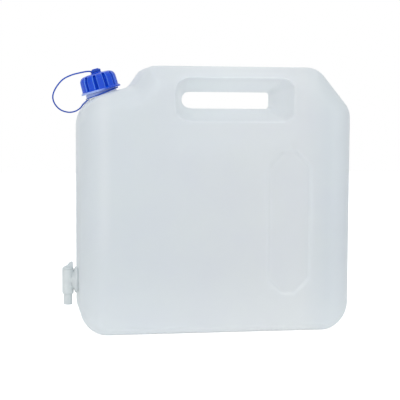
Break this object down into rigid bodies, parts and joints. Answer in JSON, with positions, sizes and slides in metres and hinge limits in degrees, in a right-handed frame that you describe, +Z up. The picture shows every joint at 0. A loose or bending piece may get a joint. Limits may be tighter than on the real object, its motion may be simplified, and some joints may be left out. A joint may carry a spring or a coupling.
{
  "type": "carboy with spigot",
  "caption": "Flat blow-moulded water canister with a hand slot, a tethered screw cap on a tilted neck and a plug tap low on one end.",
  "frame": {"origin": "centre of the canister's flat base, on the plane that it stands on", "axes": "+Z up, +X along the width away from the tap and the neck, -Y out of the front face with the sunk panel"},
  "size_m": [0.3968, 0.15, 0.352],
  "materials": {
    "natural_hdpe": "satin",
    "blue_cap_plastic": "gloss",
    "blue_tether_plastic": "satin",
    "foam_liner": "matt",
    "milky_silicone": "satin"
  },
  "bodies": {
    "vessel": {"canister": "natural_hdpe", "tap_body": "natural_hdpe", "tap_washer": "milky_silicone", "tether": "blue_tether_plastic"},
    "liner": {"cap_liner": "foam_liner"},
    "screw_cap": {"cap": "blue_cap_plastic"},
    "tap_valve": {"tap_plug": "natural_hdpe", "tap_oring": "milky_silicone"}
  },
  "joints": [
    {"name": "cap_lift", "type": "slide", "parent": "vessel", "child": "liner", "axis": [-0.2756, 0, 0.9613], "range_m": [0, 0.018], "deforming": ["tether"]},
    {"name": "cap_turn", "type": "hinge", "parent": "liner", "child": "screw_cap", "pos_m": [-0.14884, 0, 0.31451], "axis": [-0.2756, 0, 0.9613], "range_deg": [0, 1080]},
    {"name": "tap_turn", "type": "hinge", "parent": "vessel", "child": "tap_valve", "pos_m": [-0.1955, 0, 0.065], "axis": [0, 0, 1], "range_deg": [0, 90]}
  ],
  "couplings": [
    {"joint": "cap_lift", "follows": "cap_turn", "m_per_rad": 0.00095492}
  ]
}
